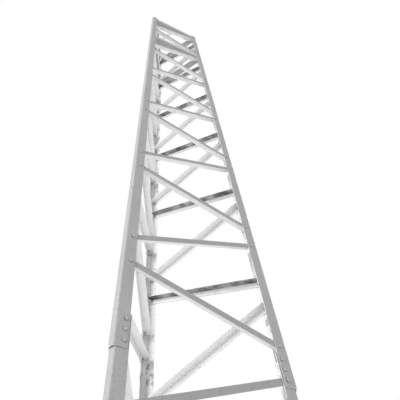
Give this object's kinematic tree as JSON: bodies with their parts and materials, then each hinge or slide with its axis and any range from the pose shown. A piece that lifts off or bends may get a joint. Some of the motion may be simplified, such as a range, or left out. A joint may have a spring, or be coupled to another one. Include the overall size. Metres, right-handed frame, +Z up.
{
  "type": "radio tower",
  "caption": "Self-supporting three-legged lattice radio tower with bent-plate legs, bolted angle bracing, level girts at its top and anchored base plates",
  "frame": {"origin": "on the ground under the tower's axis, midway between the three legs", "axes": "+Z up along the tower, the front face looks along -Y, +X runs along the front face from the left leg to the right leg"},
  "size_m": [1.2906, 1.1746, 8.9994],
  "materials": {
    "leg_plate": "hot-dip galvanised, weathered matt",
    "base_plate": "hot-dip galvanised, dull",
    "girt": "hot-dip galvanised, satin",
    "bracing": "hot-dip galvanised, satin"
  },
  "bodies": {
    "root": {"left_leg_upper": "leg_plate", "left_leg_lower": "leg_plate", "right_leg_upper": "leg_plate", "right_leg_lower": "leg_plate", "rear_leg_upper": "leg_plate", "rear_leg_lower": "leg_plate", "left_foot": "base_plate", "right_foot": "base_plate", "rear_foot": "base_plate", "front_top_girt": "girt", "front_second_girt": "girt", "right_top_girt": "girt", "right_second_girt": "girt", "left_top_girt": "girt", "left_second_girt": "girt", "plan_brace": "bracing", "front_bracing_high": "bracing", "front_bracing_mid": "bracing", "front_bracing_low": "bracing", "right_bracing_high": "bracing", "right_bracing_mid": "bracing", "right_bracing_low": "bracing", "left_bracing_high": "bracing", "left_bracing_mid": "bracing", "left_bracing_low": "bracing"}
  },
  "joints": []
}
